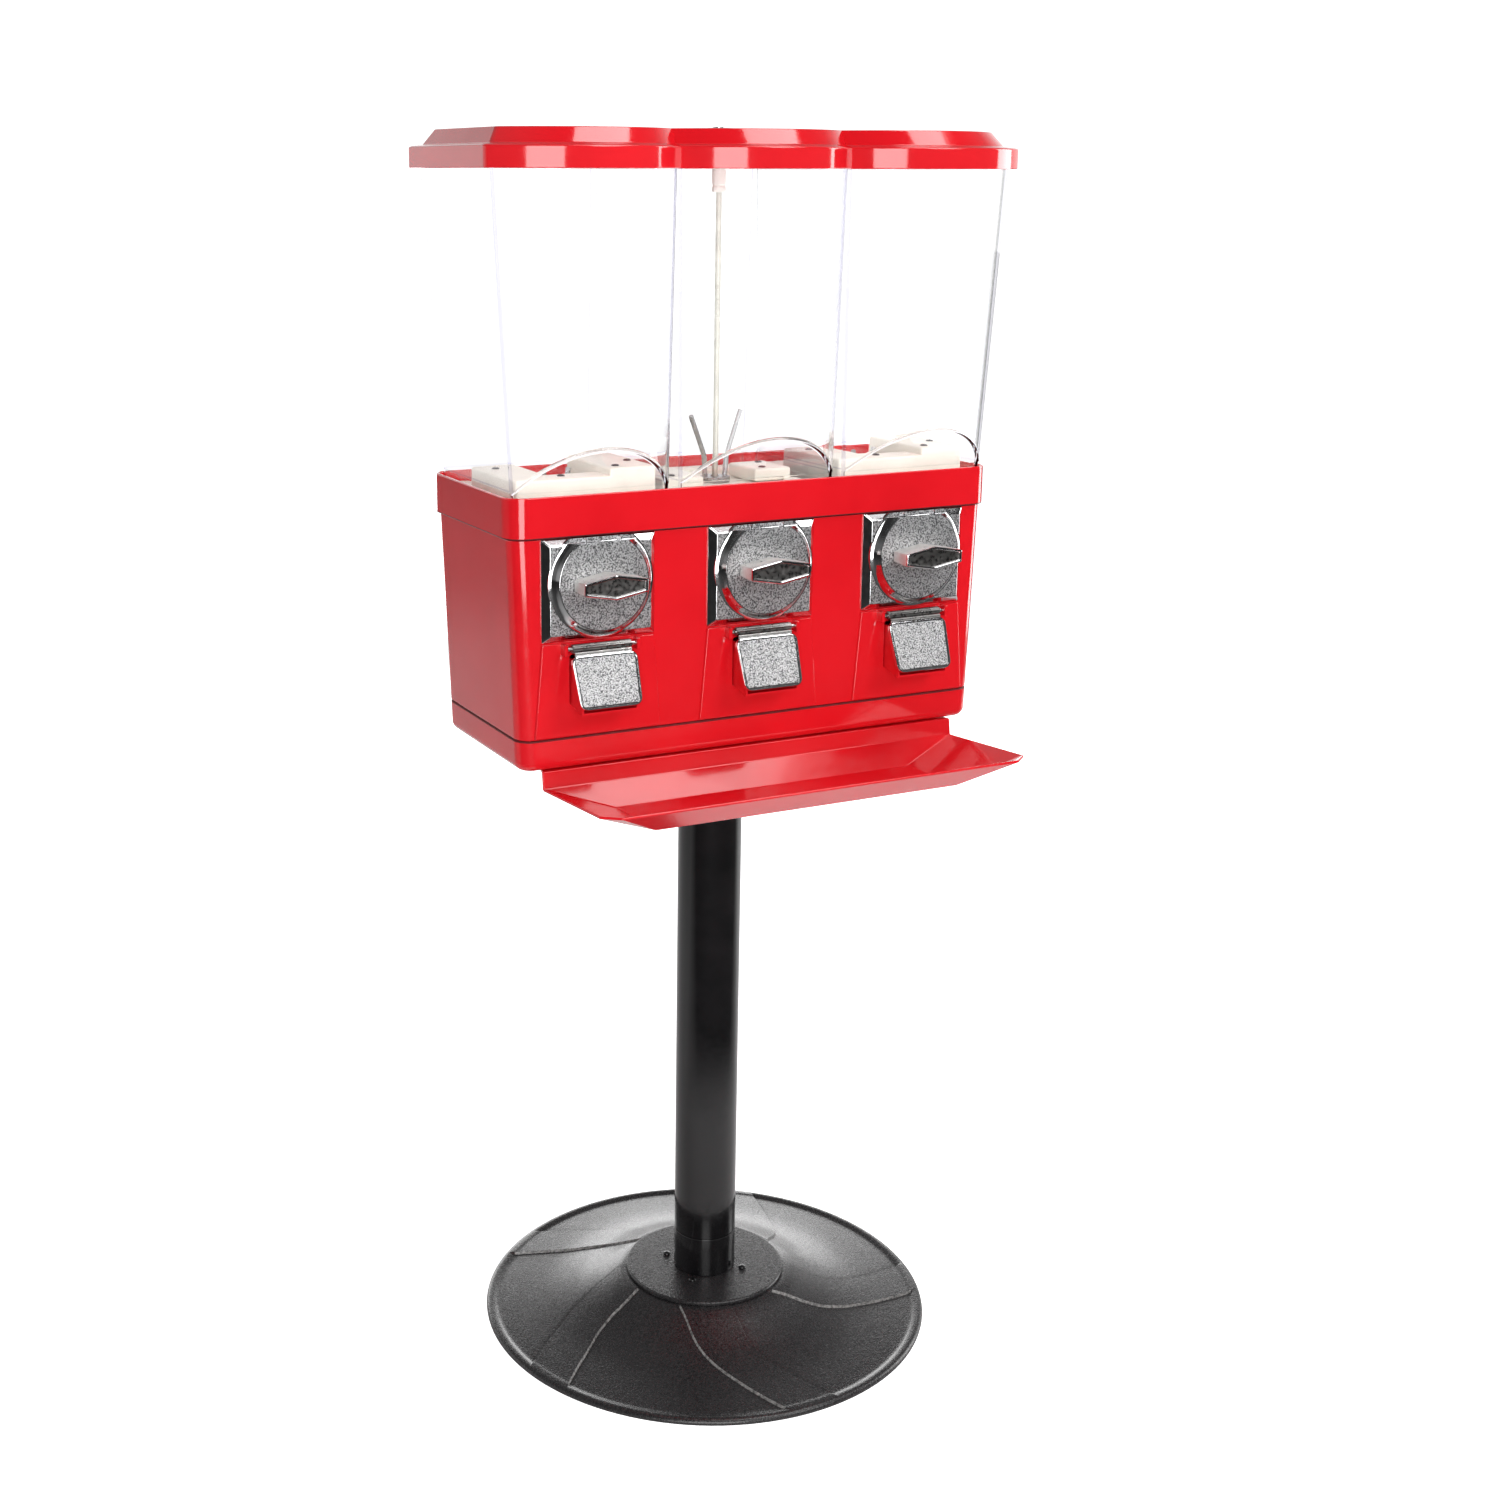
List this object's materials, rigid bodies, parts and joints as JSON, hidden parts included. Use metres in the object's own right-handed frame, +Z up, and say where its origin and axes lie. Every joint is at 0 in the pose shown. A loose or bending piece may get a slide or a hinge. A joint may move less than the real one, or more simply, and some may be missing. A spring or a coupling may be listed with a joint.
{
  "type": "candy vending machine",
  "caption": "Coin-operated candy and gumball vending machine: clear canisters over a red cabinet with chrome coin mechanisms, on a black pedestal stand.",
  "frame": {"origin": "centre of the foot's underside on the floor", "axes": "+Z up, -Y towards the front with the coin mechanisms, +X to the right seen from the front"},
  "size_m": [0.48, 0.409, 1.067],
  "materials": {
    "red_plastic": "gloss moulded plastic, bright red",
    "clear_plastic": "clear, water-white moulded plastic",
    "cream_plastic": "satin cream moulding",
    "white_plastic": "satin white moulding",
    "chrome": "polished chrome plate on a casting, panel fields hammered",
    "speckled_silver": "speckled silver plate with a dark rim",
    "steel": "bright zinc-plated steel",
    "galvanised": "galvanised sheet",
    "black_gloss": "gloss black paint on steel",
    "black_cast_iron": "wrinkle-textured black paint on cast iron"
  },
  "bodies": {
    "cabinet": {"centre_rod": "steel", "rod_socket": "white_plastic", "rod_nut": "steel", "collar": "red_plastic", "body_shell": "red_plastic", "base_pan": "red_plastic", "coin_pan": "galvanised", "tray": "red_plastic", "stand_top_plate": "black_gloss", "stand_pipe": "black_gloss", "stand_foot": "black_gloss", "hub_plate": "black_cast_iron", "cast_base": "black_cast_iron", "hub_bolt_1": "black_gloss", "hub_bolt_2": "black_gloss", "hub_bolt_3": "black_gloss", "hub_bolt_4": "black_gloss", "canister_left": "clear_plastic", "hopper_left": "cream_plastic", "mech_plate_left": "chrome", "mech_back_left": "steel", "door_pin_left": "steel", "chute_left": "red_plastic", "canister_centre": "clear_plastic", "hopper_centre": "cream_plastic", "mech_plate_centre": "chrome", "mech_back_centre": "steel", "door_pin_centre": "steel", "chute_centre": "red_plastic", "canister_right": "clear_plastic", "hopper_right": "cream_plastic", "mech_plate_right": "chrome", "mech_back_right": "steel", "door_pin_right": "steel", "chute_right": "red_plastic"},
    "lid": {"lid": "red_plastic", "lock_body": "chrome"},
    "lock": {"lock_plug": "steel"},
    "handle_left": {"mech_handle_left": "chrome", "coin_wheel_left": "steel", "drive_gear_left": "cream_plastic", "shaft_nut_left": "steel"},
    "wheel_left": {"candy_wheel_left": "cream_plastic", "agitator_left": "steel"},
    "door_left": {"chute_door_left": "speckled_silver"},
    "handle_centre": {"mech_handle_centre": "chrome", "coin_wheel_centre": "steel", "drive_gear_centre": "cream_plastic", "shaft_nut_centre": "steel"},
    "wheel_centre": {"candy_wheel_centre": "cream_plastic", "agitator_centre": "steel"},
    "door_centre": {"chute_door_centre": "speckled_silver"},
    "handle_right": {"mech_handle_right": "chrome", "coin_wheel_right": "steel", "drive_gear_right": "cream_plastic", "shaft_nut_right": "steel"},
    "wheel_right": {"candy_wheel_right": "cream_plastic", "agitator_right": "steel"},
    "door_right": {"chute_door_right": "speckled_silver"}
  },
  "joints": [
    {"name": "handle_left_turn", "type": "hinge", "parent": "cabinet", "child": "handle_left", "pos_m": [-0.1477, 0, 0.717], "axis": [0, 1, 0], "continuous": true},
    {"name": "wheel_left_turn", "type": "hinge", "parent": "cabinet", "child": "wheel_left", "pos_m": [-0.1477, 0, 0.768], "axis": [0, 0, 1], "continuous": true},
    {"name": "door_left_swing", "type": "hinge", "parent": "cabinet", "child": "door_left", "pos_m": [-0.1477, -0.0881, 0.6643], "axis": [-1, 0, 0], "range_deg": [0, 75]},
    {"name": "handle_centre_turn", "type": "hinge", "parent": "cabinet", "child": "handle_centre", "pos_m": [0, 0, 0.717], "axis": [0, 1, 0], "continuous": true},
    {"name": "wheel_centre_turn", "type": "hinge", "parent": "cabinet", "child": "wheel_centre", "pos_m": [0, 0, 0.768], "axis": [0, 0, 1], "continuous": true},
    {"name": "door_centre_swing", "type": "hinge", "parent": "cabinet", "child": "door_centre", "pos_m": [0, -0.0881, 0.6643], "axis": [-1, 0, 0], "range_deg": [0, 75]},
    {"name": "handle_right_turn", "type": "hinge", "parent": "cabinet", "child": "handle_right", "pos_m": [0.1477, 0, 0.717], "axis": [0, 1, 0], "continuous": true},
    {"name": "wheel_right_turn", "type": "hinge", "parent": "cabinet", "child": "wheel_right", "pos_m": [0.1477, 0, 0.768], "axis": [0, 0, 1], "continuous": true},
    {"name": "door_right_swing", "type": "hinge", "parent": "cabinet", "child": "door_right", "pos_m": [0.1477, -0.0881, 0.6643], "axis": [-1, 0, 0], "range_deg": [0, 75]},
    {"name": "lid_lift", "type": "slide", "parent": "cabinet", "child": "lid", "axis": [0, 0, 1], "range_m": [0, 0.1]},
    {"name": "lock_turn", "type": "hinge", "parent": "lid", "child": "lock", "pos_m": [0, 0, 1.05], "axis": [0, 0, 1], "range_deg": [0, 90]}
  ],
  "couplings": [
    {"joint": "wheel_left_turn", "follows": "handle_left_turn", "ratio": 0.66667},
    {"joint": "wheel_centre_turn", "follows": "handle_centre_turn", "ratio": 0.66667},
    {"joint": "wheel_right_turn", "follows": "handle_right_turn", "ratio": 0.66667}
  ]
}
